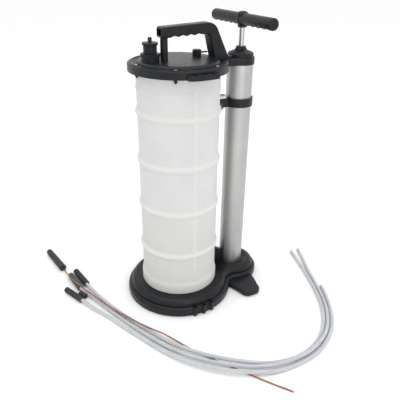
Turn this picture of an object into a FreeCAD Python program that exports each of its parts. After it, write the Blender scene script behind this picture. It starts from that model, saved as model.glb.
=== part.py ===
import FreeCAD, Part
import math
import os

V = FreeCAD.Vector
PI2 = 2.0 * math.pi

# ---- driving dimensions, millimetres; the tank's axis is Z, the floor is z = 0 ----
TANK_R = 84.0            # outer wall of the tank
TANK_WALL = 2.5
TANK_Z0, TANK_Z1 = 12.0, 523.0
FOOT_R = 87.0            # flared foot of the tank
FLOOR_SPLIT = 18.0       # height where the tank's floor part meets its wall part
RIB_OUT = 4.0
RIB_Z = (134.0, 236.5, 339.0, 441.0)
FLANGE_R, FLANGE_H = 95.0, 5.0
PUMP_X = 146.0           # axis of the hand pump
CYL_R, CYL_WALL = 27.7, 2.2
CYL_Z0, CYL_Z1 = 14.0, 529.0
BORE_R = CYL_R - CYL_WALL
ROD_R = 5.5
LID_R = 99.5
LID_Z0, LID_TOP = 521.0, 536.0
DECK_Z, DECK_R = 541.0, 78.0
LID_UNDER = 530.0
PUMP_END_R = 29.8        # lid's end round the pump
BASE_R, BASE_PUMP_R = 121.6, 64.2
BASE_H = 38.0
BASE_SPLIT = 61.0        # where the base moulding is divided into its parts
SCREW_RING_R = 88.0
LID_SCREW_ANGLES = (0, 60, 120, 180, 240, 300)
PROBE_ANGLES = (-100, -90, -80)
PORT_X = -59.0
POST_X = -30.0
HANDLE_SCREW_X = (POST_X, 77.6, 98.8)
VENT_X, VENT_Y = 48.0, 12.0
HOSE_D, COPPER_D = 8.0, 3.2


def cyl(r, z0, z1, x=0.0, y=0.0):
    return Part.makeCylinder(r, z1 - z0, V(x, y, z0))


def ring(ro, ri, z0, z1, x=0.0, y=0.0):
    return cyl(ro, z0, z1, x, y).cut(cyl(ri, z0 - 1, z1 + 1, x, y))


def cone(r0, r1, z0, z1, x=0.0, y=0.0):
    return Part.makeCone(r0, r1, z1 - z0, V(x, y, z0))


def torus(r_mid, r_wire, z, x=0.0, y=0.0):
    return Part.makeTorus(r_mid, r_wire, V(x, y, z))


def box(x0, x1, y0, y1, z0, z1):
    return Part.makeBox(x1 - x0, y1 - y0, z1 - z0, V(x0, y0, z0))


def revolve(edges_or_points, x=0.0, y=0.0):
    """Solid of revolution about the vertical through (x, y) of a closed (r, z) outline."""
    pts = [V(r, 0, z) for r, z in edges_or_points]
    face = Part.Face(Part.makePolygon(pts + [pts[0]]))
    solid = face.revolve(V(0, 0, 0), V(0, 0, 1), 360)
    solid.translate(V(x, y, 0))
    return solid


def extrude_xz(points, y0, y1):
    """Straight-sided slab of a closed (x, z) outline between two y values."""
    pts = [V(x, y0, z) for x, z in points]
    return Part.Face(Part.makePolygon(pts + [pts[0]])).extrude(V(0, y1 - y0, 0))


def polar(r, angle):
    a = math.radians(angle)
    return r * math.cos(a), r * math.sin(a)


def arc3(a, b, c):
    return Part.Arc(a, b, c).toShape()


def waisted(r1, r2, rf, z):
    """Outline round the tank and the pump, its two waists rounded by concave arcs."""
    d = PUMP_X
    q1, q2 = r1 + rf, r2 + rf
    cx = (d * d + q1 * q1 - q2 * q2) / (2 * d)
    cy = math.sqrt(q1 * q1 - cx * cx)
    t1 = V(cx * r1 / q1, cy * r1 / q1, z)
    t2 = V(d + (cx - d) * r2 / q2, cy * r2 / q2, z)
    to_mid = V((t1.x + t2.x) / 2 - cx, (t1.y + t2.y) / 2 - cy, 0)
    to_mid.normalize()
    mid = V(cx, cy, z) + to_mid * rf
    down = lambda p: V(p.x, -p.y, z)
    wire = Part.Wire([
        arc3(t1, V(-r1, 0, z), down(t1)),
        arc3(down(t1), down(mid), down(t2)),
        arc3(down(t2), V(d + r2, 0, z), t2),
        arc3(t2, mid, t1)])
    return wire


def slab(wire, height):
    return Part.Face(wire).extrude(V(0, 0, height))


def top_edges(shape, z, tol=0.01):
    return [e for e in shape.Edges
            if abs(e.BoundBox.ZMin - z) < tol and abs(e.BoundBox.ZMax - z) < tol]


def one(shape):
    """The single clean solid of a boolean result."""
    s = shape.removeSplitter()
    assert len(s.Solids) == 1, len(s.Solids)
    assert s.isValid()
    return s.Solids[0]


NODES = {}


def node(name, shape):
    NODES[name] = shape


def screw(x, y, z_seat, length, r, head_r, head_h, up=1):
    """Pan-head screw; its head stands from z_seat upward (up=1) or hangs down (up=-1)."""
    z1 = z_seat + up * head_h
    head = cyl(head_r, min(z_seat, z1), max(z_seat, z1), x, y)
    rim = top_edges(head, z1)
    head = head.makeFillet(head_h * 0.55, rim)
    z_tip = z_seat - up * length
    shank = cyl(r, min(z_seat, z_tip), max(z_seat, z_tip), x, y)
    slot = box(x - head_r * 0.6, x + head_r * 0.6, y - 0.5, y + 0.5, 0, head_h * 0.4)
    slot.translate(V(0, 0, z1 - (head_h * 0.4 if up > 0 else 0)))
    cross = slot.copy()
    cross.rotate(V(x, y, 0), V(0, 0, 1), 90)
    return head.fuse(shank).cut(slot).cut(cross)


def group(shapes):
    return Part.makeCompound([s.Solids[0] for s in shapes])


# ---- base ----

PEDAL = ((96, -58), (101, -72), (107, -88), (110.5, -104), (114, -115), (121, -122.5),
         (132, -124), (143, -124), (152, -121.5), (157.5, -115), (160.5, -104), (164, -92),
         (167.5, -78), (170, -60), (160, -45), (110, -45))


def pedal():
    spline = Part.BSplineCurve()
    spline.interpolate([V(x, y, 3) for x, y in PEDAL], PeriodicFlag=True)
    pad = Part.Face(Part.Wire(spline.toShape())).extrude(V(0, 0, 10))
    return pad.makeFillet(2.5, top_edges(pad, 13))


def base_body():
    lower = slab(waisted(BASE_R, BASE_PUMP_R, 24.0, 3.0), 19.0)
    lower = lower.makeFillet(7.0, top_edges(lower, 22.0))
    upper = slab(waisted(BASE_R - 7.5, BASE_PUMP_R - 7.5, 31.5, 3.0), BASE_H - 3.0)
    upper = upper.makeFillet(13.0, top_edges(upper, BASE_H))
    body = lower.fuse(upper).fuse(pedal())
    # opening for the tank, pump well with its dished top
    body = body.cut(cyl(FOOT_R + 0.3, 0.0, 60.0))
    body = body.cut(cyl(CYL_R + 0.15, CYL_Z0, 60.0, PUMP_X))
    body = body.cut(cone(CYL_R, CYL_R + 14.0, 32.5, BASE_H + 0.1, PUMP_X))
    # upright web between the tank's foot and the pump tube
    web = extrude_xz([(88.6, 25), (88.6, 84), (99, 80), (117.8, 67), (117.8, 25)], -7.0, 7.0)
    body = body.fuse(web)
    # hollow underside: feet sit in this shallow recess
    body = body.cut(slab(waisted(BASE_R - 5, BASE_PUMP_R - 5, 29.0, 3.0), 5.0))
    body = body.cut(cyl(2.6, 0.0, 20.0, PUMP_X))
    for angle in PROBE_ANGLES:
        body = body.cut(cyl(5.0, 0.0, 24.0, *polar(121.5, angle)))
    return one(body)


def base_parts():
    """The base moulding in four touching parts round the tank: pump end, far side, front, rear."""
    whole, cut = base_body(), BASE_SPLIT
    spans = {"base": (cut, 220, -130, 130), "base_side": (-130, -cut, -130, 130),
             "base_front": (-cut, cut, -130, 0), "base_rear": (-cut, cut, 0, 130)}
    return {name: one(whole.common(box(*span, 0, 90))) for name, span in spans.items()}


def base_plate():
    """Round plate that closes the base under the tank."""
    return cyl(FOOT_R + 0.3, 8.0, TANK_Z0)


def probe_sockets():
    """Three upright cups let into the base's rim for the tips of stored probes."""
    out = []
    for angle in PROBE_ANGLES:
        x, y = polar(121.5, angle)
        out.append(cyl(5.0, 3.0, 24.0, x, y).cut(cyl(3.3, 6.0, 30.0, x, y)))
    return group(out)


def base_feet():
    """Five rubber pads near the rim and a wider one under the middle of the tank."""
    spots = [polar(108.0, a) for a in (95, 180, 265)] + [(PUMP_X + 44, 22), (PUMP_X + 44, -22)]
    return group([cyl(7.0, 0.0, 8.0, x, y) for x, y in spots] + [cyl(12.0, 0.0, 8.0)])


# ---- tank ----

def tank_outline():
    """Outer (r, z) outline from the bottom centre up to the flange."""
    pts = [(0, TANK_Z0), (78, TANK_Z0), (84, 15), (FOOT_R, 21), (FOOT_R, 57), (TANK_R, 67)]
    for z in RIB_Z:
        pts += [(TANK_R, z - 9), (TANK_R + RIB_OUT * 0.75, z - 4.5), (TANK_R + RIB_OUT, z - 1.5),
                (TANK_R + RIB_OUT, z + 1.5), (TANK_R + RIB_OUT * 0.75, z + 4.5), (TANK_R, z + 9)]
    pts += [(TANK_R, 481), (TANK_R + 1, 486), (TANK_R + 1, 490), (TANK_R, 495)]
    return pts


def tank_shell():
    outer = tank_outline()
    wall = TANK_WALL
    inner = [(max(r - wall, 0), z) for r, z in outer]
    inner[0] = (0, TANK_Z0 + wall)
    inner[1] = (76, TANK_Z0 + wall)
    inner[2] = (81.6, 17.2)
    neck_in = TANK_R - wall
    top = TANK_Z1 + FLANGE_H
    rim = [(TANK_R, TANK_Z1), (FLANGE_R, TANK_Z1), (FLANGE_R, top), (neck_in, top)]
    body = revolve(outer + rim + inner[::-1])
    strip = cyl(TANK_R + 1.0, 66.0, 519.0).cut(cyl(TANK_R - 1.0, 60.0, 525.0))
    strip = strip.common(box(-7.5, 7.5, -90, -70, 60, 525))
    lug = box(TANK_R - 1.2, 112, -9, 9, 452.5, 457.5)
    lug = lug.makeFillet(6.0, [e for e in lug.Edges if e.BoundBox.ZLength > 4.9
                               and e.BoundBox.XMin > 111])
    body = body.fuse(strip).fuse(lug).cut(cyl(2.3, 450, 460, 105.0))
    for angle in LID_SCREW_ANGLES:
        x, y = polar(SCREW_RING_R, angle)
        body = body.cut(cyl(2.3, TANK_Z1 - 1, top + 1, x, y))
    return one(body)


def tank():
    """Wall of the tank above its floor."""
    return one(tank_shell().common(box(-130, 130, -130, 130, FLOOR_SPLIT, 600)))


def tank_floor():
    """Dished floor of the tank, one moulding with the wall."""
    return one(tank_shell().common(box(-130, 130, -130, 130, 0, FLOOR_SPLIT)))


# ---- lid ----

def lid():
    body = slab(waisted(LID_R, PUMP_END_R, 26.0, LID_Z0), LID_TOP - LID_Z0)
    body = body.makeFillet(2.5, top_edges(body, LID_TOP))
    deck = revolve([(0, 532), (DECK_R + 5, 532), (DECK_R + 3.5, 537.5), (DECK_R, 540.4),
                    (DECK_R - 2, DECK_Z), (0, DECK_Z)])
    bead = torus(94.0, 1.6, LID_TOP).cut(box(70, 140, -60, 60, 520, 550))
    groove = torus(85.5, 1.2, LID_TOP)
    body = body.cut(groove).fuse(deck).fuse(bead)
    shelf = cyl(110.5, LID_Z0, 530.5).cut(cyl(95.0, 515, 540))
    wedge = Part.Face(Part.makePolygon([V(0, 0, 515)] + [V(*polar(150, a), 515)
                      for a in (-108, -72)] + [V(0, 0, 515)])).extrude(V(0, 0, 30))
    shelf = shelf.common(wedge)
    corners = [e for e in shelf.Edges if e.BoundBox.ZLength > 9
               and math.hypot(e.CenterOfMass.x, e.CenterOfMass.y) > 108]
    corners.sort(key=lambda e: e.CenterOfMass.x)
    shelf = shelf.makeFillet(9.0, corners[:1])
    right = [e for e in shelf.Edges if e.BoundBox.ZLength > 9 and e.CenterOfMass.x > 25
             and math.hypot(e.CenterOfMass.x, e.CenterOfMass.y) > 108]
    shelf = shelf.makeFillet(4.0, right)
    body = body.fuse(shelf)
    # raised seats: inlet port, leg of the handle, vent knob
    body = body.fuse(cyl(17.5, 535, 549.5, PORT_X))
    body = body.fuse(box(66, 116, -15, 15, 533, DECK_Z))
    body = body.fuse(cyl(9.5, 535, 542.5, VENT_X, VENT_Y))
    # underside: seat for the tank's flange, hollow bridge, socket for the pump tube
    body = body.cut(cyl(96.3, LID_Z0 - 5, LID_UNDER))
    hollow = slab(waisted(LID_R - 3.2, PUMP_END_R - 3.2, 29.2, LID_Z0 - 1), 10.0)
    hollow = hollow.cut(cyl(96.0, 500, 540)).cut(cyl(PUMP_END_R, 500, 540, PUMP_X))
    body = body.cut(hollow)
    body = body.cut(cyl(CYL_R + 0.05, LID_Z0 - 5, CYL_Z1 + 0.05, PUMP_X))
    body = body.cut(cyl(BORE_R + 0.2, 520, 560, PUMP_X))
    for angle in PROBE_ANGLES:
        body = body.cut(cyl(3.3, 515, 540, *polar(105.0, -90 + 1.08 * (angle + 90))))
    for angle in LID_SCREW_ANGLES:
        x, y = polar(SCREW_RING_R, angle)
        body = body.cut(cyl(2.3, 515, 545, x, y))
        body = body.cut(cyl(4.2, 535.4, 545, x, y))
    body = body.cut(cyl(10.2, 515, 560, PORT_X))
    body = body.cut(cyl(2.6, 515, 560, VENT_X, VENT_Y))
    for x in HANDLE_SCREW_X:
        body = body.cut(cyl(2.0, 515, 545, x))
    return one(body)


def lid_gasket():
    body = ring(FLANGE_R, 82.5, TANK_Z1 + FLANGE_H, LID_UNDER)
    for angle in LID_SCREW_ANGLES:
        x, y = polar(SCREW_RING_R, angle)
        body = body.cut(cyl(2.3, 520, 540, x, y))
    return one(body)


def lid_screws():
    return group([screw(*polar(SCREW_RING_R, a), 535.4, 17.0, 1.9, 3.7, 2.6)
                  for a in LID_SCREW_ANGLES])


def screw_anchors():
    """Pointed push-in anchors that the lid's screws bite into, under the tank's flange."""
    out = []
    for a in LID_SCREW_ANGLES[:-1]:
        x, y = polar(SCREW_RING_R, a)
        barrel = cyl(3.4, 516.0, TANK_Z1, x, y).fuse(cone(0.8, 3.4, 511.5, 516.0, x, y))
        barrel = barrel.cut(cyl(1.95, 517.5, 524, x, y))
        out.append(barrel.cut(cyl(TANK_R + 0.05, 500, 523)))
    return group(out)


# ---- carry handle ----

def rounded_xz(points, y):
    """Closed wire in a plane of constant y through (x, z, corner radius) points."""
    n = len(points)
    ends = []
    for i in range(n):
        b = V(points[i][0], y, points[i][1])
        a = V(points[i - 1][0], y, points[i - 1][1])
        c = V(points[(i + 1) % n][0], y, points[(i + 1) % n][1])
        u, w = (a - b).normalize(), (c - b).normalize()
        half = u.getAngle(w) / 2
        reach = points[i][2] / math.tan(half)
        bis = (u + w).normalize()
        mid = b + bis * (points[i][2] / math.sin(half) - points[i][2])
        ends.append((b + u * reach, mid, b + w * reach))
    edges = []
    for i in range(n):
        p0, mid, p1 = ends[i]
        if points[i][2] > 0:
            edges.append(arc3(p0, mid, p1))
        edges.append(Part.makeLine(p1, ends[(i + 1) % n][0]))
    return Part.Wire(edges)


def carry_handle():
    outline = rounded_xz([(-40, 581.5, 4.0), (-40, 601.5, 5.0), (75.5, 607.0, 24.0),
                          (108, 541, 0), (74, 541, 0), (63, 585.5, 9.0)], -13.0)
    body = Part.Face(outline).extrude(V(0, 26, 0))
    back = [e for e in body.Edges if e.BoundBox.YLength < 0.01 and e.BoundBox.ZMin > 541.1
            or e.BoundBox.YLength < 0.01 and e.BoundBox.ZMin > 540.9 and e.BoundBox.ZLength > 20]
    body = body.makeFillet(3.5, back)
    # finger scallops along the underside of the grip
    for k in range(4):
        x = 40.0 - 17.5 * k
        body = body.cut(Part.makeCylinder(13.0, 40, V(x, -20, 584.5 - 0.65 * k - 10.4),
                                          V(0, 1, 0)))
    body = body.fuse(cyl(7.3, DECK_Z, 586, POST_X))
    channel = extrude_xz([(-46, 585.2), (10, 588.7), (14, 591), (14, 596), (10, 599.5),
                          (-46, 597.8)], -9.2, 9.2)
    body = body.cut(channel)
    for x in HANDLE_SCREW_X:
        body = body.cut(cyl(1.9, 540, 553, x))
    return one(body)


def handle_screws():
    return group([screw(x, 0, LID_UNDER, 21.0, 1.85, 3.4, 2.2, up=-1) for x in HANDLE_SCREW_X])


# ---- inlet port ----

def inlet_collar():
    body = ring(19.0, 10.2, 549.5, 555.5, PORT_X)
    body = body.makeFillet(1.0, top_edges(body, 555.5))
    for k in range(6):
        x, y = polar(19.6, 60 * k + 15)
        body = body.cut(cyl(2.6, 548, 557, PORT_X + x, y))
    return one(body)


def inlet_adaptor():
    """Fluted cap with a flange, a hollow hose nipple and a plug that drops into the port."""
    body = revolve([(0, 528), (9.4, 528), (9.9, 529), (9.9, 555.8), (12.8, 555.8), (12.8, 569.5),
                    (14.0, 570.2), (15.0, 571.5), (15.0, 574.6), (14.4, 575.2), (6.0, 575.2),
                    (4.4, 576.2), (3.85, 577.4), (3.85, 583.2), (3.3, 584.0), (0, 584.0)], PORT_X)
    for k in range(12):
        x, y = polar(13.6, 30 * k)
        body = body.cut(cyl(1.5, 557.5, 568.5, PORT_X + x, y))
    body = body.cut(cyl(2.0, 520, 590, PORT_X)).cut(ring(12, 8.2, 536, 539.2, PORT_X))
    return one(body)


def inlet_seal():
    return ring(10.15, 8.25, 536.3, 538.9, PORT_X)


# ---- vent ----

def vent_knob():
    body = revolve([(0, 515.5), (2.0, 515.5), (2.0, 542.8), (8.6, 542.8), (8.6, 545.6),
                    (6.4, 546.4), (6.4, 549.8), (8.8, 550.4), (8.8, 552.8), (7.8, 553.8),
                    (0, 553.8)], VENT_X, VENT_Y)
    for k in range(10):
        x, y = polar(9.4, 36 * k)
        body = body.cut(cyl(1.3, 550.2, 555, VENT_X + x, VENT_Y + y))
    return one(body.cut(ring(5.35, 3.45, 540, 544.3, VENT_X, VENT_Y)))


def vent_seal():
    return ring(5.3, 3.5, 542.6, 544.2, VENT_X, VENT_Y)


def vent_retainer():
    return ring(5.5, 2.0, 516.0, 518.0, VENT_X, VENT_Y)


def vent_spring():
    coil_r, wire_r, z0, z1 = 3.9, 0.5, 518.6, 529.4
    helix = Part.makeHelix((z1 - z0) / 5.0, z1 - z0, coil_r)
    profile = Part.Wire(Part.makeCircle(wire_r, V(coil_r, 0, 0), V(0, 1, 0)))
    coil = Part.Wire(helix.Edges).makePipeShell([profile], True, True)
    coil.translate(V(VENT_X, VENT_Y, z0))
    return coil


def vent_strap():
    """Tab whose eye is clipped round the knob's waist and whose tail points to the leg."""
    eye = ring(9.4, 6.41, 546.6, 549.4, VENT_X, VENT_Y)
    tail = box(VENT_X + 7.5, 71.0, VENT_Y - 2.5, VENT_Y + 1.0, 546.6, 549.4)
    return one(eye.fuse(tail))


# ---- float shut-off ----

FLOAT_X = 18.0


def float_cage():
    body = ring(13.5, 11.5, 474.0, LID_UNDER, FLOAT_X)
    body = body.fuse(ring(13.5, 5.0, 474.0, 476.0, FLOAT_X))
    body = body.fuse(ring(13.5, 4.0, 514.0, 518.0, FLOAT_X))
    for k in range(4):
        slot = box(5, 20, -4, 4, 480, 506)
        slot.rotate(V(0, 0, 0), V(0, 0, 1), 90 * k + 45)
        slot.translate(V(FLOAT_X, 0, 0))
        body = body.cut(slot)
    return one(body)


def float_ball():
    return Part.makeSphere(10.5, V(FLOAT_X, 0, 485.4))


# ---- hand pump ----

def pump_cylinder():
    return ring(CYL_R, BORE_R, CYL_Z0, CYL_Z1, PUMP_X)


def foot_plug():
    body = cyl(BORE_R - 0.05, CYL_Z0, 35.0, PUMP_X)
    body = body.cut(ring(BORE_R + 1, 23.0, 26.0, 29.0, PUMP_X))
    body = body.cut(cyl(2.1, CYL_Z0 - 1, 30.0, PUMP_X))
    return one(body)


def foot_seal():
    return ring(BORE_R - 0.02, 23.1, 26.2, 28.8, PUMP_X)


def foot_bolt():
    return screw(PUMP_X, 0, 8.0, 20.0, 2.0, 4.5, 3.0, up=-1)


def bump_stop():
    return ring(20.0, 10.0, 35.0, 41.0, PUMP_X)


def piston_washer():
    return ring(21.0, 4.06, 41.4, 43.4, PUMP_X)


def piston_cup():
    """Cup seal: a dished disc whose lip spreads against the bore."""
    return revolve([(4.06, 43.4), (19.0, 43.4), (25.42, 45.0), (25.42, 53.4), (23.6, 53.4),
                    (22.4, 47.4), (18.0, 46.4), (4.06, 46.4)], PUMP_X)


def piston():
    return revolve([(4.06, 46.4), (18.0, 46.4), (21.8, 47.6), (21.8, 54.0), (24.9, 54.0),
                    (24.9, 64.0), (20.0, 66.0), (4.06, 66.0)], PUMP_X)


def pump_rod():
    body = cyl(ROD_R, 66.2, 606.0, PUMP_X).fuse(cyl(4.0, 36.6, 66.2, PUMP_X))
    return one(body.cut(box(PUMP_X - 10, PUMP_X + 10, -1.6, 1.6, 598.4, 601.6)))


def rod_nut():
    hexagon = Part.makePolygon([V(PUMP_X + 7.6 * math.cos(k * PI2 / 6),
                                  7.6 * math.sin(k * PI2 / 6), 36.9) for k in range(7)])
    return one(Part.Face(hexagon).extrude(V(0, 0, 4.2)).cut(cyl(4.0, 30, 50, PUMP_X)))


def head_cover():
    """Ribbed cap: a plug inside the tube, a flange on the lid and a sloped crown."""
    body = revolve([(0, 508), (BORE_R - 0.1, 508), (BORE_R - 0.1, 536), (27.0, 536),
                    (27.0, 541.5), (25.6, 543.2), (13.5, 548.0), (12.6, 548.6), (0, 548.6)],
                   PUMP_X)
    for k in range(12):
        x, y = polar(28.2, 30 * k)
        body = body.cut(cyl(1.6, 537.2, 545, PUMP_X + x, y))
        rib = extrude_xz([(13.2, 545), (13.2, 548.5), (25.2, 543.9), (25.2, 541)], -0.6, 0.6)
        rib.rotate(V(0, 0, 0), V(0, 0, 1), 30 * k + 15)
        rib.translate(V(PUMP_X, 0, 0))
        body = body.fuse(rib)
    body = body.cut(cyl(ROD_R + 0.6, 500, 560, PUMP_X)).cut(cyl(8.0, 500, 532, PUMP_X))
    body = body.cut(cyl(8.2, 544.6, 560, PUMP_X)).cut(ring(30, 23.4, 515, 518, PUMP_X))
    return one(body)


def head_seal():
    return ring(BORE_R - 0.03, 23.45, 515.2, 517.8, PUMP_X)


def rod_bush():
    return ring(7.98, ROD_R + 0.05, 508.2, 532.0, PUMP_X)


def rod_seal():
    return ring(8.1, ROD_R + 0.04, 544.7, 548.5, PUMP_X)


def gland_nut():
    body = revolve([(0, 548.6), (12.2, 548.6), (12.2, 551.0), (10.6, 553.5), (10.2, 556.0),
                    (0, 556.0)], PUMP_X)
    for k in range(6):
        x, y = polar(12.6, 60 * k)
        body = body.cut(cyl(1.8, 547, 558, PUMP_X + x, y))
    return one(body.cut(cyl(ROD_R + 0.35, 540, 560, PUMP_X)))


GRIP_Z, GRIP_R, GRIP_HALF = 608.5, 11.6, 106.0


def t_handle():
    """Cross grip with a domed hub, a collar round the rod and scallops under each arm."""
    bar = Part.makeCylinder(GRIP_R, 2 * GRIP_HALF, V(PUMP_X, -GRIP_HALF, GRIP_Z), V(0, 1, 0))
    bar = bar.makeFillet(4.0, [e for e in bar.Edges if abs(abs(e.CenterOfMass.y)
                                                           - GRIP_HALF) < 0.1])
    hub = revolve([(0, 592.5), (8.4, 592.5), (9.3, 593.5), (9.3, 597.0), (12.5, 600.0),
                   (12.5, 617.0), (11.5, 619.5), (9.0, 621.8), (5.0, 623.3), (0, 623.8)], PUMP_X)
    body = bar.fuse(hub)
    for side in (-1, 1):
        for k in range(4):
            y = side * (30.0 + 19.0 * k)
            body = body.cut(Part.makeCylinder(11.0, 40, V(PUMP_X - 20, y, GRIP_Z - 17.3),
                                              V(1, 0, 0)))
    body = body.cut(cyl(ROD_R, 580, 606.2, PUMP_X))
    body = body.cut(Part.makeCylinder(1.6, 40, V(PUMP_X - 20, 0, 600.0), V(1, 0, 0)))
    return one(body)


def handle_pin():
    return Part.makeCylinder(1.55, 24.0, V(PUMP_X - 12, 0, 600.0), V(1, 0, 0))


# ---- check valves in the bridge ----

VALVE_X = 109.2


def valve_block():
    body = box(103.6, 114.8, -11.5, 11.5, 521.0, 527.4)
    for y in (-5.6, 5.6):
        body = body.cut(cyl(4.6, 522.2, 530, VALVE_X, y)).cut(cyl(2.0, 515, 530, VALVE_X, y))
    return one(body)


def valve_cap():
    body = box(103.6, 114.8, -11.5, 11.5, 527.4, 529.8)
    for y in (-5.6, 5.6):
        body = body.cut(cyl(1.6, 520, 535, VALVE_X, y))
    return one(body)


def valve_disc(y):
    return cyl(4.3, 522.5, 523.9, VALVE_X, y)


# ---- clamp ----

def clamp_band():
    body = ring(31.0, CYL_R + 0.02, 433.0, 451.0, PUMP_X)
    ear = extrude_xz([(121, 450), (117, 452.0), (101.5, 452.0), (99.6, 448.5), (99.6, 441),
                      (104.0, 432.6), (121, 433.4)], -8.0, 8.0)
    body = body.fuse(ear).cut(cyl(CYL_R + 0.02, 425, 460, PUMP_X))
    return one(body.cut(cyl(2.2, 425, 460, 105.0)))


def clamp_screw():
    return screw(105.0, 0, 457.5, 31.0, 1.9, 3.6, 2.4)


def clamp_nut():
    hexagon = Part.makePolygon([V(105.0 + 4.0 * math.cos(k * PI2 / 6),
                                  4.0 * math.sin(k * PI2 / 6), 427.6) for k in range(7)])
    return one(Part.Face(hexagon).extrude(V(0, 0, 3.6)).cut(cyl(1.95, 420, 440, 105.0)))


# ---- loose hoses: points of each route, the tube's straight runs joined by arcs ----

HOSE_1 = ((-202, 97, 7.5), (-197, 68, 6.2), (-188, 34, 4.6), (-177, -5, 4.0), (-162, -50, 4.0),
          (-139, -108, 4.0), (-112, -170, 5.0), (-86, -216, 9.4), (-59, -250, 10.8),
          (-27, -279, 10.6), (12, -306, 7.4), (52, -324, 4.4), (97, -331, 4.0),
          (130, -328, 4.0), (162, -317, 4.0), (193, -299, 4.0), (220, -274, 4.0),
          (242, -247, 4.0), (263, -212, 4.0), (283, -170, 4.0), (305, -112, 4.0),
          (322, -62, 4.0), (335, -18, 4.0))
HOSE_2 = ((-219.5, 88, 7.5), (-214, 72, 6.6), (-206.5, 52, 5.2), (-197, 22, 4.0), (-187, -11, 4.0),
          (-173, -53, 4.0), (-150.5, -113, 4.0), (-124, -177, 5.0), (-97, -226, 9.4),
          (-69, -260, 10.8), (-34, -291, 10.8), (6, -317, 9.6), (44, -332, 11.0),
          (84, -337.5, 12.0), (122, -336.5, 12.0), (157, -326.5, 11.2), (190, -310.5, 8.8),
          (212, -293.5, 5.8), (233, -272.5, 4.2), (253, -247.5, 4.0), (271, -217, 4.0),
          (291.5, -174, 4.0), (314, -115, 4.0), (341, -60, 4.0), (358, -19, 4.0))
HOSE_3 = ((-229.5, 44, 7.0), (-220, 18, 6.0), (-208, -9, 4.4), (-192, -41, 4.0),
          (-179, -79, 4.0), (-162, -118, 4.0), (-137, -181, 5.0), (-109, -233, 9.2),
          (-80, -270, 11.0), (-43, -303, 11.2), (0, -329, 10.4), (34, -341, 5.6),
          (74, -346, 4.0), (119, -345, 4.0), (160, -335, 4.0), (203, -313, 4.0),
          (233, -287, 4.0), (257, -258.5, 4.0), (279.5, -221, 4.0), (291, -198, 4.0),
          (301, -175, 4.0))
COPPER = ((-235, 188, 8.6), (-235.5, 164, 13.4), (-234, 140, 16.4), (-229.2, 109.6, 17.8),
          (-221.2, 85.7, 17.6), (-213.6, 61.6, 16.8), (-199, 20, 15.2), (-184.5, -17, 14),
          (-171.5, -46.7, 13.8), (-156.5, -78, 13.4), (-141, -108, 13), (-127.5, -132, 13.4),
          (-115.5, -147, 11.8), (-103, -162, 6.2), (-83, -200, 1.7), (-62, -238, 1.7),
          (-40, -275, 1.7), (-14, -315, 1.7), (9, -353, 1.7), (37, -393, 1.7))


def cord_path(points):
    """Wire of straight runs and tangent arcs; also its length and smallest radius."""
    p = [V(*q) for q in points]
    edges, start, radii = [], p[0], []
    for a, b, c in zip(p, p[1:], p[2:]):
        u, w = (a - b), (c - b)
        lu, lw = u.Length, w.Length
        u.normalize()
        w.normalize()
        turn = math.pi - u.getAngle(w)
        reach = 0.45 * min(lu, lw)
        radii.append(reach / math.tan(turn / 2))
        t0, t1 = b + u * reach, b + w * reach
        bis = (u + w)
        bis.normalize()
        centre_gap = radii[-1] / math.cos(turn / 2)
        middle = b + bis * (centre_gap - radii[-1])
        edges.append(Part.LineSegment(start, t0).toShape())
        edges.append(Part.Arc(t0, middle, t1).toShape())
        start = t1
    edges.append(Part.LineSegment(start, p[-1]).toShape())
    wire = Part.Wire(edges)
    return wire, wire.Length, min(radii)


def cord_tube(name, points, diameter):
    wire, length, radius = cord_path(points)
    along = V(*points[1]) - V(*points[0])
    section = Part.Wire(Part.makeCircle(diameter / 2, V(*points[0]), along))
    solid = wire.makePipeShell([section], True, True)
    ideal = math.pi * diameter ** 2 / 4 * length
    print("%s length %.1f least radius %.1f volume/ideal %.4f" %
          (name, length, radius, solid.Volume / ideal))
    return solid.Solids[0]


def rubber_end(p0, p1, r0, r1, bore_r, depth):
    """Tapered rubber sleeve from p0 to p1, rounded rims, a blind socket in its p0 end."""
    along = V(*p1) - V(*p0)
    body = Part.makeCone(r0, r1, along.Length, V(*p0), along)
    body = body.makeFillet(1.0, [e for e in body.Edges if e.Closed])
    unit = V(along).normalize()
    return body.cut(Part.makeCylinder(bore_r, depth + 1, V(*p0) - unit, unit)).Solids[0]


for part_name, part_shape in base_parts().items():
    node(part_name, part_shape)
node("base_plate", base_plate())
node("probe_sockets", probe_sockets())
node("base_feet", base_feet())
node("tank", tank())
node("tank_floor", tank_floor())
node("lid", lid())
node("lid_gasket", lid_gasket())
node("lid_screws", lid_screws())
node("screw_anchors", screw_anchors())
node("carry_handle", carry_handle())
node("handle_screws", handle_screws())
node("inlet_collar", inlet_collar())
node("inlet_adaptor", inlet_adaptor())
node("inlet_seal", inlet_seal())
node("vent_knob", vent_knob())
node("vent_seal", vent_seal())
node("vent_retainer", vent_retainer())
node("vent_spring", vent_spring())
node("vent_strap", vent_strap())
node("float_cage", float_cage())
node("float_ball", float_ball())
node("pump_cylinder", pump_cylinder())
node("foot_plug", foot_plug())
node("foot_seal", foot_seal())
node("foot_bolt", foot_bolt())
node("bump_stop", bump_stop())
node("piston_washer", piston_washer())
node("piston_cup", piston_cup())
node("piston", piston())
node("pump_rod", pump_rod())
node("rod_nut", rod_nut())
node("head_cover", head_cover())
node("head_seal", head_seal())
node("rod_bush", rod_bush())
node("rod_seal", rod_seal())
node("gland_nut", gland_nut())
node("t_handle", t_handle())
node("handle_pin", handle_pin())
node("valve_block", valve_block())
node("valve_cap", valve_cap())
node("intake_disc", valve_disc(-5.6))
node("exhaust_disc", valve_disc(5.6))
node("clamp_band", clamp_band())
node("clamp_screw", clamp_screw())
node("clamp_nut", clamp_nut())
node("hose_1", cord_tube("hose_1", HOSE_1, HOSE_D))
node("hose_2", cord_tube("hose_2", HOSE_2, HOSE_D))
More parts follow.
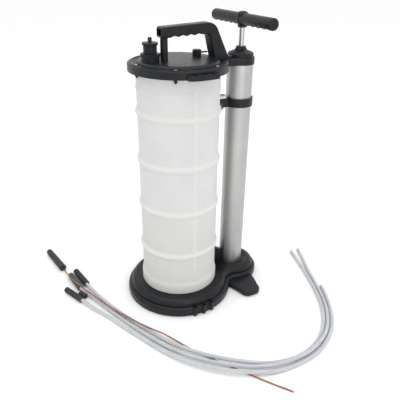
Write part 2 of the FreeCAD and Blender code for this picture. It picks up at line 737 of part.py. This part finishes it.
node("hose_3", cord_tube("hose_3", HOSE_3, HOSE_D))
node("copper_tube", cord_tube("copper_tube", COPPER, COPPER_D))
node("rubber_end_1", rubber_end((-210, 162, 7.4), (-202, 97, 7.5), 7.1, 7.45, 3.6, 22))
node("rubber_end_2", rubber_end((-226, 152, 7.4), (-219.5, 88, 7.5), 7.1, 7.45, 3.6, 22))
node("rubber_end_3", rubber_end((-251, 100, 7.0), (-229.5, 44, 7.0), 6.6, 6.95, 3.6, 22))
node("rubber_end_4", rubber_end((-226, 73, 5.9), (-218.2, 53.5, 6.0), 5.5, 5.8, 3.6, 13))
node("probe_grip", rubber_end((-247, 282, 7.7), (-235, 188, 8.6), 7.6, 8.5, 3.6, 26))

os.makedirs("parts", exist_ok=True)
for name, shape in NODES.items():
    shape.exportStep("parts/%s.step" % name)
    bad = [s for s in shape.Solids if not s.isValid()]
    box_ = shape.BoundBox
    print("%-16s solids %d %s vol %.0f z %.1f..%.1f" %
          (name, len(shape.Solids), "BAD" if bad else "ok", shape.Volume, box_.ZMin, box_.ZMax))
print("nodes", len(NODES))
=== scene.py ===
import bpy
import bmesh
import math
from mathutils import Matrix, Vector


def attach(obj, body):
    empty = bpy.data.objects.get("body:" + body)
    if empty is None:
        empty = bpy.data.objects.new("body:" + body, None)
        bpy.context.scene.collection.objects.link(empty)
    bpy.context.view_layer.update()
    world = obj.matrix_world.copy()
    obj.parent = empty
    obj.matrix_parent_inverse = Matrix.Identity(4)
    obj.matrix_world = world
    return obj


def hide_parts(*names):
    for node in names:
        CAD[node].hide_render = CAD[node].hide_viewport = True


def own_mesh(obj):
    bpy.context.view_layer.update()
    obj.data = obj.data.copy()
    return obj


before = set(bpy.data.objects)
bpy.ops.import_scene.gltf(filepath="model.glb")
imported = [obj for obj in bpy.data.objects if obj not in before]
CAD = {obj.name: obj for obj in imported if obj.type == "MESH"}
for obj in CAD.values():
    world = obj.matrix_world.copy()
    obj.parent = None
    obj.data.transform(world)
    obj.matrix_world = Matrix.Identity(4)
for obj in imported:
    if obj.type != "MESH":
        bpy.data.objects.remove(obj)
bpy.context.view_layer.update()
SCENE = bpy.context.scene


# ---------------------------------------------------------------- camera

def make_camera():
    """A 42.5 mm lens on a 36 mm sensor, looking down at the object from its front left."""
    data = bpy.data.cameras.new("camera")
    data.sensor_width = 36.0
    data.lens = 42.49
    cam = bpy.data.objects.new("camera", data)
    SCENE.collection.objects.link(cam)
    right = Vector((0.87105, -0.49097, 0.01617))
    up = Vector((0.21040, 0.40263, 0.89087))
    back = right.cross(up)
    place = (-0.42854, -0.84106, 0.71374)
    rows = [(right[i], up[i], back[i], place[i]) for i in range(3)]
    cam.matrix_world = Matrix(rows + [(0, 0, 0, 1)])
    SCENE.camera = cam


make_camera()


# ---------------------------------------------------------------- mesh helpers

def new_object(name, verts, faces, sharp=None):
    """A smooth-shaded object; edges steeper than sharp, in degrees, stay crisp."""
    mesh = bpy.data.meshes.new(name)
    mesh.from_pydata([tuple(v) for v in verts], [], faces)
    mesh.validate()
    mesh.shade_smooth()
    if sharp is not None:
        mesh.set_sharp_from_angle(angle=math.radians(sharp))
    ob = bpy.data.objects.new(name, mesh)
    SCENE.collection.objects.link(ob)
    return ob


def tube_faces(rings, sides):
    """Faces of a swept tube whose vertices run ring by ring, closed at both ends."""
    faces = []
    for i in range(rings - 1):
        for k in range(sides):
            j = (k + 1) % sides
            faces.append([i * sides + k, i * sides + j,
                          (i + 1) * sides + j, (i + 1) * sides + k])
    faces.append(list(range(sides))[::-1])
    faces.append([(rings - 1) * sides + k for k in range(sides)])
    return faces


def frame_along(axis):
    """Two unit vectors square to axis."""
    axis = axis.normalized()
    side = Vector((0, 0, 1)).cross(axis)
    if side.length < 1e-4:
        side = Vector((1, 0, 0))
    side.normalize()
    return side, axis.cross(side)


def lathe(name, profile, origin=(0, 0, 0), axis=(0, 0, 1), segments=64, shape=None, sharp=35):
    """Closed surface of revolution of (radius, height) points, both ends on the axis.
    shape(radius, height, angle) may change a ring's radius as it goes round."""
    axis = Vector(axis).normalized()
    side, other = frame_along(axis)
    origin = Vector(origin)
    verts, faces, rings = [], [], []
    for r, h in profile:
        if r < 1e-7:
            rings.append([len(verts)])
            verts.append(origin + axis * h)
            continue
        ring = []
        for k in range(segments):
            a = 2 * math.pi * k / segments
            rr = shape(r, h, a) if shape else r
            ring.append(len(verts))
            verts.append(origin + axis * h + (side * math.cos(a) + other * math.sin(a)) * rr)
        rings.append(ring)
    for low, high in zip(rings, rings[1:]):
        for k in range(segments):
            j = (k + 1) % segments
            quad = [low[k % len(low)], low[j % len(low)], high[j % len(high)], high[k % len(high)]]
            quad = [q for i, q in enumerate(quad) if q != quad[i - 1]]
            if len(quad) > 2:
                faces.append(quad)
    return new_object(name, verts, faces, sharp)


# ---------------------------------------------------------------- tank

WALL_R = 0.084
ROW = 0.0020                                         # height of one row of the wall's mesh
RIBS = (0.134, 0.2365, 0.339, 0.441)                 # heights of the four ribs
RIB_HALF, RIB_RISE = 0.0095, 0.004
BEAD, BEAD_HALF, BEAD_RISE = 0.488, 0.009, 0.001     # faint bead round the shoulder
FOOT_TOP, FOOT_RUN, FOOT_RISE = 0.055, 0.014, 0.003  # the wider foot, and its blend into the wall
STRIP_AT, STRIP_HALF, STRIP_EDGE = 266.4, 4.4, 1.4   # level strip, in degrees round the wall
STRIP_LOW, STRIP_HIGH, STRIP_RISE = 0.066, 0.519, 0.0014
LUG_Z = (0.4525, 0.4575)                             # underside and top of the clamp lug
LUG_IN, LUG_OUT, LUG_HALF, LUG_ROUND = 0.0835, 0.106, 0.009, 0.006


def swell(z, centre, half):
    """Soft raised band: 1 at the centre, 0 from half away."""
    t = min(abs(z - centre) / half, 1.0)
    return (0.5 + 0.5 * math.cos(math.pi * t)) ** 0.75


def tank_profile():
    """Outside of the tank from the middle of its floor up, over the flange and down inside."""
    outer = [(0, 0.012), (0.076, 0.012), (0.0795, 0.0126), (0.0835, 0.0148), (0.0860, 0.0178),
             (0.0870, 0.0215), (0.0870, 0.0540)]
    z = 0.0555
    while z < 0.5225:
        foot = 0.5 + 0.5 * math.cos(math.pi * min(max((z - FOOT_TOP) / FOOT_RUN, 0.0), 1.0))
        ribs = sum(swell(z, rib, RIB_HALF) for rib in RIBS)
        bead = swell(z, BEAD, BEAD_HALF)
        outer.append((WALL_R + FOOT_RISE * foot + RIB_RISE * ribs + BEAD_RISE * bead, z))
        z += ROW
    rim = [(WALL_R, 0.5230), (0.0945, 0.5230), (0.0950, 0.5235), (0.0950, 0.5275),
           (0.0945, 0.5280), (0.0815, 0.5280), (0.0815, 0.0300), (0.0790, 0.0170),
           (0.0740, 0.0145), (0, 0.0145)]
    return outer + rim


def tank_shape(r, h, a):
    """A shallow upright level strip runs up the front of the wall between the ribs."""
    if r < WALL_R or not STRIP_LOW < h < STRIP_HIGH:
        return r
    away = abs(math.degrees(a) - STRIP_AT)
    t = min(max((STRIP_HALF - away) / STRIP_EDGE, 0.0), 1.0)
    return max(r, WALL_R + STRIP_RISE * t * t * (3 - 2 * t))


def soft_tank():
    """The tank's wall and floor as one turned surface, with the flat lug the clamp screw is in."""
    ob = lathe("soft_tank", tank_profile(), segments=240, shape=tank_shape)
    outline = [(LUG_IN, -LUG_HALF), (LUG_OUT, -LUG_HALF)]
    outline += [(LUG_OUT + LUG_ROUND * math.sin(a), LUG_ROUND - LUG_HALF - LUG_ROUND * math.cos(a))
                for a in (math.pi / 12 * k for k in range(1, 7))]
    outline += [(x, -y) for x, y in outline[::-1]]
    plate = bmesh.new()
    plate.from_mesh(ob.data)
    low, high = ([plate.verts.new((x, y, z)) for x, y in outline] for z in LUG_Z)
    plate.faces.new(low[::-1])
    plate.faces.new(high)
    for k in range(len(outline)):
        j = (k + 1) % len(outline)
        plate.faces.new((low[k], low[j], high[j], high[k]))
    plate.to_mesh(ob.data)
    plate.free()
    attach(ob, "body")
    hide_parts("tank", "tank_floor")
    return ob


SOFT_TANK = soft_tank()


# ---------------------------------------------------------------- vent spring

VENT_X, VENT_Y = 0.048, 0.012
COIL_LOW, COIL_HEIGHT, COIL_R, WIRE_R = 0.5186, 0.0108, 0.0039, 0.0005
COIL_TURNS, TURN_STEPS, WIRE_SIDES = 5, 24, 8


def vent_coil():
    """Compression spring under the vent, built as a coil of one fixed length."""
    steps, verts = COIL_TURNS * TURN_STEPS, []
    for i in range(steps + 1):
        a = 2 * math.pi * i / TURN_STEPS
        out = Vector((math.cos(a), math.sin(a), 0))
        centre = Vector((VENT_X, VENT_Y, COIL_LOW + COIL_HEIGHT * i / steps)) + out * COIL_R
        for b in (2 * math.pi / WIRE_SIDES * k for k in range(WIRE_SIDES)):
            verts.append(centre + out * WIRE_R * math.cos(b) + Vector((0, 0, WIRE_R * math.sin(b))))
    ob = new_object("vent_coil", verts, tube_faces(steps + 1, WIRE_SIDES), 50)
    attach(ob, "body")
    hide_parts("vent_spring")
    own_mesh(ob)
    return ob


COIL = vent_coil()


# ---------------------------------------------------------------- hoses and tube

HOSE_OUT, HOSE_IN = 0.004, 0.0028
COPPER_OUT, COPPER_IN = 0.0016, 0.0009
TUBE_SIDES = 24
TUBE_REACH = 0.001      # how far a tube's start reaches on into its sleeve
BORE_DEPTH = 0.02       # how deep the open bore at its far end is
RING_PITCH, RING_DEPTH = 0.0024, 0.00035


def route_line(points):
    """The NURBS spline of a route as evaluated points, from a curve with no bevel."""
    curve = bpy.data.curves.new("route", "CURVE")
    curve.dimensions = "3D"
    curve.resolution_u = 10
    spline = curve.splines.new("NURBS")
    spline.points.add(len(points) - 1)
    for p, q in zip(spline.points, points):
        p.co = (q[0], q[1], q[2], 1.0)
    spline.order_u = 3
    spline.use_endpoint_u = True
    ob = bpy.data.objects.new("route", curve)
    SCENE.collection.objects.link(ob)
    bpy.context.view_layer.update()
    mesh = bpy.data.meshes.new_from_object(ob.evaluated_get(bpy.context.evaluated_depsgraph_get()))
    line = [Vector(v.co) for v in mesh.vertices]
    bpy.data.objects.remove(ob)
    bpy.data.meshes.remove(mesh)
    return line


def hollow_tube(name, line, outer, inner):
    """Tube along a line: its start reaches a little way into its sleeve, its far end is a cut
    mouth with a wall and an open bore."""
    start = line[0] + (line[0] - line[1]).normalized() * TUBE_REACH
    path = [start] + line
    tangents = []
    for i, p in enumerate(path):
        a, b = path[max(i - 1, 0)], path[min(i + 1, len(path) - 1)]
        tangents.append((b - a).normalized())
    side = frame_along(tangents[0])[0]
    rings = []

    def ring(centre, tangent, radius):
        nonlocal side
        side = (side - tangent * side.dot(tangent)).normalized()
        other = tangent.cross(side)
        rings.append([centre + (side * math.cos(a) + other * math.sin(a)) * radius
                      for a in (2 * math.pi * k / TUBE_SIDES for k in range(TUBE_SIDES))])

    for p, t in zip(path[:-1], tangents[:-1]):
        ring(p, t, outer)
    end, t = path[-1], tangents[-1]
    lip = (outer - inner) * 0.3
    ring(end - t * lip, t, outer)
    ring(end, t, outer - lip)
    ring(end, t, inner + lip)
    ring(end - t * lip, t, inner)
    ring(end - t * BORE_DEPTH, t, inner)
    verts = [v for r in rings for v in r]
    return new_object(name, verts, tube_faces(len(rings), TUBE_SIDES), 50)


# control points of each cord's route, from its rubber end to its bare end
HOSE_1 = ((-.202, .097, .0075), (-.197, .068, .0062), (-.188, .034, .0046),
          (-.177, -.005, .004), (-.162, -.05, .004), (-.139, -.108, .004),
          (-.112, -.17, .005), (-.086, -.216, .0094), (-.059, -.25, .0108),
          (-.027, -.279, .0106), (.012, -.306, .0074), (.052, -.324, .0044),
          (.097, -.331, .004), (.13, -.328, .004), (.162, -.317, .004),
          (.193, -.299, .004), (.22, -.274, .004), (.242, -.247, .004),
          (.263, -.212, .004), (.283, -.17, .004), (.305, -.112, .004),
          (.322, -.062, .004), (.335, -.018, .004))
HOSE_2 = ((-.2195, .088, .0075), (-.214, .072, .0066), (-.2065, .052, .0052),
          (-.197, .022, .004), (-.187, -.011, .004), (-.173, -.053, .004),
          (-.1505, -.113, .004), (-.124, -.177, .005), (-.097, -.226, .0094),
          (-.069, -.26, .0108), (-.034, -.291, .0108), (.006, -.317, .0096),
          (.044, -.332, .011), (.084, -.3375, .012), (.122, -.3365, .012),
          (.157, -.3265, .0112), (.19, -.3105, .0088), (.212, -.2935, .0058),
          (.233, -.2725, .0042), (.253, -.2475, .004), (.271, -.217, .004),
          (.2915, -.174, .004), (.314, -.115, .004), (.341, -.06, .004),
          (.358, -.019, .004))
HOSE_3 = ((-.2295, .044, .007), (-.22, .018, .006), (-.208, -.009, .0044),
          (-.192, -.041, .004), (-.179, -.079, .004), (-.162, -.118, .004),
          (-.137, -.181, .005), (-.109, -.233, .0092), (-.08, -.27, .011),
          (-.043, -.303, .0112), (0, -.329, .0104), (.034, -.341, .0056),
          (.074, -.346, .004), (.119, -.345, .004), (.16, -.335, .004),
          (.203, -.313, .004), (.233, -.287, .004), (.257, -.2585, .004),
          (.2795, -.221, .004), (.291, -.198, .004), (.301, -.175, .004))
COPPER = ((-.235, .188, .0086), (-.2355, .164, .0134), (-.234, .14, .0164),
          (-.2292, .1096, .0178), (-.2212, .0857, .0176), (-.2136, .0616, .0168),
          (-.199, .02, .0152), (-.1845, -.017, .014), (-.1715, -.0467, .0138),
          (-.1565, -.078, .0134), (-.141, -.108, .013), (-.1275, -.132, .0134),
          (-.1155, -.147, .0118), (-.103, -.162, .0062), (-.083, -.2, .0017),
          (-.062, -.238, .0017), (-.04, -.275, .0017), (-.014, -.315, .0017),
          (.009, -.353, .0017), (.037, -.393, .0017))


def sleeve(name, mouth, root, r0, r1, bore, entry):
    """Tapered rubber sleeve with fine rings, an open socket and a collar round its hose.
    Its radius goes from r0 at the mouth to r1 at the root."""
    mouth, root = Vector(mouth), Vector(root)
    length = (root - mouth).length
    deep = min(0.020, length * 0.6)

    def taper(h):
        return r0 + (r1 - r0) * h / length

    prof = [(0, deep), (bore, deep), (bore, 0.0010), (bore + 0.0006, 0.0002),
            (bore + 0.0012, 0.0), (r0 - 0.0012, 0.0), (r0 - 0.0004, 0.0003), (r0, 0.0012)]
    h = 0.0030
    while h < length - 0.0045:
        prof += [(taper(h), h), (taper(h) - RING_DEPTH, h + RING_PITCH * 0.18),
                 (taper(h) - RING_DEPTH, h + RING_PITCH * 0.34), (taper(h), h + RING_PITCH * 0.52)]
        h += RING_PITCH
    prof += [(taper(length), length - 0.0012), (r1 - 0.0004, length - 0.0003),
             (r1 - 0.0012, length), (entry + 0.0011, length), (entry + 0.0003, length - 0.0004),
             (entry, length - 0.0012), (0, length - 0.0012)]
    return lathe(name, prof[::-1], mouth, root - mouth, 40, sharp=40)


# each rubber end: mouth, root, radius at the mouth and at the root, bore, hose entry
SLEEVES = {
    "rubber_end_1": ((-.210, .162, .0074), (-.202, .097, .0075), .0071, .00745, .0036, .0042),
    "rubber_end_2": ((-.226, .152, .0074), (-.2195, .088, .0075), .0071, .00745, .0036, .0042),
    "rubber_end_3": ((-.251, .100, .0070), (-.2295, .044, .0070), .0066, .00695, .0036, .0042),
    "rubber_end_4": ((-.226, .073, .0059), (-.2182, .0535, .0060), .0055, .0058, .0034, .0036)}
# each cord: name, route, outer and inner radius, length, the rubber ends that go with it
CORDS = (("hose_1", HOSE_1, HOSE_OUT, HOSE_IN, .981, ("rubber_end_1",)),
         ("hose_2", HOSE_2, HOSE_OUT, HOSE_IN, 1.009, ("rubber_end_2",)),
         ("hose_3", HOSE_3, HOSE_OUT, HOSE_IN, .832, ("rubber_end_3", "rubber_end_4")),
         ("copper_tube", COPPER, COPPER_OUT, COPPER_IN, .652, ("probe_grip",)))


def cords():
    """The sleeves and cords, by the name of the CAD node that each replaces."""
    made = {}
    for name, (mouth, root, r0, r1, bore, entry) in SLEEVES.items():
        piece = sleeve(name + "_sleeve", mouth, root, r0, r1, bore, entry)
        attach(piece, "body")
        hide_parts(name)
        made[name] = piece
    for name, points, outer, inner, length, ends in CORDS:
        line = route_line(points)
        piece = hollow_tube(name + "_run", line, outer, inner)
        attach(piece, "body")
        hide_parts(name)
        made[name] = piece
    return made


LOOSE = cords()


# ---------------------------------------------------------------- materials

class Nodes:
    """Shorthand for building a procedural material in object coordinates, in metres."""

    def __init__(self, name):
        self.material = bpy.data.materials.new(name)
        self.material.use_nodes = True
        self.tree = self.material.node_tree
        self.shader = self.tree.nodes["Principled BSDF"]
        coords = self.tree.nodes.new("ShaderNodeTexCoord")
        self.coords = coords.outputs["Object"]

    def set(self, **values):
        for key, value in values.items():
            self.shader.inputs[key.replace("_", " ")].default_value = value

    def stretched(self, scale):
        node = self.tree.nodes.new("ShaderNodeMapping")
        node.inputs["Scale"].default_value = scale
        self.tree.links.new(self.coords, node.inputs["Vector"])
        return node.outputs["Vector"]

    def noise(self, scale, detail=3.0, rough=0.55, vector=None):
        node = self.tree.nodes.new("ShaderNodeTexNoise")
        node.inputs["Scale"].default_value = scale
        node.inputs["Detail"].default_value = detail
        node.inputs["Roughness"].default_value = rough
        self.tree.links.new(vector or self.coords, node.inputs["Vector"])
        return node.outputs["Fac"]

    def spread(self, value, low, high, to_low=0.0, to_high=1.0):
        node = self.tree.nodes.new("ShaderNodeMapRange")
        for key, number in (("From Min", low), ("From Max", high),
                            ("To Min", to_low), ("To Max", to_high)):
            node.inputs[key].default_value = number
        self.tree.links.new(value, node.inputs["Value"])
        return node.outputs["Result"]

    def mix(self, factor, first, second):
        node = self.tree.nodes.new("ShaderNodeMix")
        node.data_type = "RGBA"
        self.tree.links.new(factor, node.inputs["Factor"])
        for socket, value in ((node.inputs[6], first), (node.inputs[7], second)):
            if isinstance(value, tuple):
                socket.default_value = (*value, 1.0)
            else:
                self.tree.links.new(value, socket)
        return node.outputs[2]

    def math(self, operation, a, b=None):
        node = self.tree.nodes.new("ShaderNodeMath")
        node.operation = operation
        for socket, value in zip(node.inputs, (a, b)):
            if value is None:
                continue
            if isinstance(value, (int, float)):
                socket.default_value = value
            else:
                self.tree.links.new(value, socket)
        return node.outputs[0]

    def axis(self, letter):
        node = self.tree.nodes.new("ShaderNodeSeparateXYZ")
        self.tree.links.new(self.coords, node.inputs[0])
        return node.outputs[letter]

    def colour(self, value):
        self.tree.links.new(value, self.shader.inputs["Base Color"])

    def rough(self, value):
        self.tree.links.new(value, self.shader.inputs["Roughness"])

    def bump(self, height, distance, strength=1.0):
        node = self.tree.nodes.new("ShaderNodeBump")
        node.inputs["Distance"].default_value = distance
        node.inputs["Strength"].default_value = strength
        self.tree.links.new(height, node.inputs["Height"])
        self.tree.links.new(node.outputs["Normal"], self.shader.inputs["Normal"])


def moulded_black(name, base, scuffed, rough, grain, depth):
    """Injection-moulded black plastic: fine spark texture, uneven gloss, faint scuffs."""
    m = Nodes(name)
    m.colour(m.mix(m.spread(m.noise(60.0, 4.0), 0.35, 0.75), base, scuffed))
    m.rough(m.spread(m.noise(140.0, 3.0), 0.3, 0.7, rough - 0.05, rough + 0.07))
    m.set(Specular_IOR_Level=0.27)
    m.bump(m.noise(grain, 2.0), depth, 0.5)
    return m.material


def milky_tank():
    """Blow-moulded polyethylene: milky, with painted highlight making the ribs paler and painted
    shade making it darker and warmer low down.
    """
    m = Nodes("milky_tank")
    x, y, z = m.axis("X"), m.axis("Y"), m.axis("Z")
    radius = m.math("SQRT", m.math("ADD", m.math("MULTIPLY", x, x), m.math("MULTIPLY", y, y)))
    # painted highlight: from 0.09 to 0.479 high, wherever the wall stands out past its plain radius
    # it is painted paler
    rib_highlight_span = m.math("MULTIPLY", m.spread(z, 0.090, 0.110), m.spread(z, 0.479, 0.472))
    rib = m.math("MULTIPLY", m.spread(radius, 0.0844, 0.0862), rib_highlight_span)
    mottle = m.spread(m.noise(22.0, 3.0), 0.3, 0.7)
    panel = m.mix(mottle, (0.585, 0.588, 0.588), (0.620, 0.621, 0.618))
    # painted shade: the wall is painted darker and warmer from 0.26 high down to 0.12
    wall = m.mix(m.spread(z, 0.26, 0.12), panel, (0.580, 0.575, 0.555))
    # the paler colour is the painted highlight on the ribs
    m.colour(m.mix(rib, wall, (0.648, 0.639, 0.617)))
    m.rough(m.spread(m.noise(90.0, 2.0), 0.3, 0.7, 0.52, 0.62))
    m.set(Specular_IOR_Level=0.08, Subsurface_Weight=0.25, Subsurface_Scale=0.004)
    m.shader.inputs["Subsurface Radius"].default_value = (1.0, 0.95, 0.9)
    m.bump(m.noise(260.0, 3.0), 0.00012, 0.5)
    return m.material


def clear_hose():
    """Soft polyethylene hose: bluish milky white with a faint uneven surface."""
    m = Nodes("clear_hose")
    mottle = m.spread(m.noise(35.0, 3.0), 0.3, 0.7)
    m.colour(m.mix(mottle, (0.440, 0.452, 0.470), (0.490, 0.500, 0.515)))
    m.rough(m.spread(m.noise(120.0, 2.0), 0.3, 0.7, 0.48, 0.60))
    m.set(Specular_IOR_Level=0.12, Subsurface_Weight=1.0, Subsurface_Scale=0.010)
    m.shader.inputs["Subsurface Radius"].default_value = (0.9, 0.95, 1.0)
    m.bump(m.noise(500.0, 2.0), 0.00005, 0.4)
    return m.material


def soft_rubber(name, base, worn):
    """Matt rubber with a fine dusty grain."""
    m = Nodes(name)
    m.colour(m.mix(m.spread(m.noise(180.0, 4.0), 0.35, 0.7), base, worn))
    m.rough(m.spread(m.noise(300.0, 3.0), 0.3, 0.7, 0.62, 0.78))
    m.set(Specular_IOR_Level=0.35)
    m.bump(m.noise(1600.0, 2.0), 0.00008, 0.6)
    return m.material


def drawn_metal(name, base, tint, rough, lines):
    """Drawn or ground metal with fine lines along Z and slight uneven brightness."""
    m = Nodes(name)
    streak = m.noise(1.0, 3.0, 0.6, m.stretched((lines, lines, lines * 0.012)))
    m.colour(m.mix(m.spread(m.noise(14.0, 4.0), 0.35, 0.7), base, tint))
    m.rough(m.spread(streak, 0.3, 0.7, rough - 0.04, rough + 0.06))
    m.set(Metallic=1.0)
    m.bump(streak, 0.00003, 0.5)
    return m.material


def screw_metal():
    """Zinc-plated screws; the one at the front of the lid has gone brassy."""
    m = Nodes("screw_metal")
    x, y = m.axis("X"), m.axis("Y")
    front = m.math("MULTIPLY", m.math("LESS_THAN", x, -0.02), m.math("LESS_THAN", y, -0.06))
    mottle = m.spread(m.noise(400.0, 3.0), 0.35, 0.7)
    plated = m.mix(mottle, (0.40, 0.395, 0.385), (0.27, 0.265, 0.25))
    m.colour(m.mix(front, plated, (0.34, 0.165, 0.08)))
    m.rough(m.spread(m.noise(600.0, 2.0), 0.3, 0.7, 0.26, 0.40))
    m.set(Metallic=1.0)
    return m.material


def aged_copper():
    """Dull copper with darker blotches."""
    m = Nodes("aged_copper")
    blotch = m.spread(m.noise(70.0, 5.0, 0.65), 0.35, 0.68)
    m.colour(m.mix(blotch, (0.42, 0.195, 0.13), (0.22, 0.10, 0.07)))
    m.rough(m.spread(m.noise(240.0, 3.0), 0.3, 0.7, 0.30, 0.46))
    m.set(Metallic=1.0)
    m.bump(m.noise(900.0, 2.0), 0.00004, 0.5)
    return m.material


BLACK = moulded_black("moulded_black", (0.0062, 0.0072, 0.0096), (0.0105, 0.0120, 0.0150),
                      rough=0.36, grain=1300.0, depth=0.00010)
DEEP = moulded_black("deep_black", (0.008, 0.009, 0.011), (0.013, 0.014, 0.016),
                     rough=0.38, grain=1300.0, depth=0.00008)
TANK = milky_tank()
HOSE = clear_hose()
RUBBER = soft_rubber("soft_rubber", (0.022, 0.022, 0.025), (0.040, 0.040, 0.044))
PALE_RUBBER = soft_rubber("greyed_rubber", (0.060, 0.064, 0.070), (0.095, 0.10, 0.108))
ALUMINIUM = drawn_metal("drawn_aluminium", (0.50, 0.50, 0.495), (0.45, 0.45, 0.445),
                        rough=0.42, lines=900.0)
STEEL = drawn_metal("ground_steel", (0.54, 0.54, 0.55), (0.44, 0.44, 0.45),
                    rough=0.18, lines=1500.0)
SCREWS = screw_metal()
COPPER_LOOK = aged_copper()

# a CAD piece that is named in neither of these two is DEEP
LOOKS = {
    "base": BLACK, "base_side": BLACK, "base_front": BLACK, "base_rear": BLACK,
    "probe_sockets": BLACK, "lid": BLACK, "carry_handle": BLACK, "inlet_collar": BLACK,
    "inlet_adaptor": BLACK, "vent_knob": BLACK, "head_cover": BLACK, "gland_nut": BLACK,
    "t_handle": BLACK, "pump_cylinder": ALUMINIUM, "piston_washer": ALUMINIUM,
    "pump_rod": STEEL, "handle_pin": STEEL, "foot_bolt": SCREWS, "rod_nut": SCREWS,
    "lid_screws": SCREWS, "clamp_screw": SCREWS, "clamp_nut": SCREWS, "handle_screws": SCREWS,
    "hose_1": HOSE, "hose_2": HOSE, "hose_3": HOSE, "float_ball": HOSE,
    "copper_tube": COPPER_LOOK, "rubber_end_2": PALE_RUBBER}
RUBBERY = ("base_feet", "lid_gasket", "foot_seal", "head_seal", "rod_seal", "inlet_seal",
           "vent_seal", "bump_stop", "piston_cup", "intake_disc", "exhaust_disc", "probe_grip")


def dress(ob, material):
    ob.data.materials.clear()
    ob.data.materials.append(material)


# what replaces a CAD piece is dressed after it, the sleeves in RUBBER unless LOOKS says otherwise
for node_name, node_object in CAD.items():
    dress(node_object, LOOKS.get(node_name, RUBBER if node_name in RUBBERY else DEEP))
for node_name, piece in LOOSE.items():
    dress(piece, LOOKS.get(node_name, RUBBER))
dress(SOFT_TANK, TANK)
dress(COIL, STEEL)


# ---------------------------------------------------------------- stage and light

def stage():
    """White floor, even white surroundings, a wide light overhead and a narrow one in front."""
    floor = new_object("floor", [(-9, -9, 0), (9, -9, 0), (9, 9, 0), (-9, 9, 0)], [(0, 1, 2, 3)])
    m = Nodes("floor_white")
    m.colour(m.mix(m.noise(3.0), (0.90, 0.90, 0.90), (0.92, 0.92, 0.92)))
    m.set(Roughness=0.9, Specular_IOR_Level=0.1)
    dress(floor, m.material)
    world = bpy.data.worlds.new("studio")
    world.use_nodes = True
    world.node_tree.nodes["Background"].inputs["Color"].default_value = (1, 1, 1, 1)
    world.node_tree.nodes["Background"].inputs["Strength"].default_value = 1.08
    SCENE.world = world

    def area(name, place, target, width, height, power):
        data = bpy.data.lights.new(name, "AREA")
        data.shape = "RECTANGLE"
        data.size, data.size_y, data.energy = width, height, power
        ob = bpy.data.objects.new(name, data)
        ob.location = place
        ob.rotation_mode = "QUATERNION"
        ob.rotation_quaternion = (Vector(target) - Vector(place)).to_track_quat("-Z", "Y")
        SCENE.collection.objects.link(ob)

    area("overhead", (-0.3, -0.4, 2.4), (0, 0, 0.2), width=2.2, height=2.2, power=16)
    area("front_strip", (-0.15, -1.6, 0.75), (0.14, 0, 0.3), width=0.28, height=1.2, power=3.0)
    SCENE.view_settings.view_transform = "Standard"


stage()

bpy.context.view_layer.update()
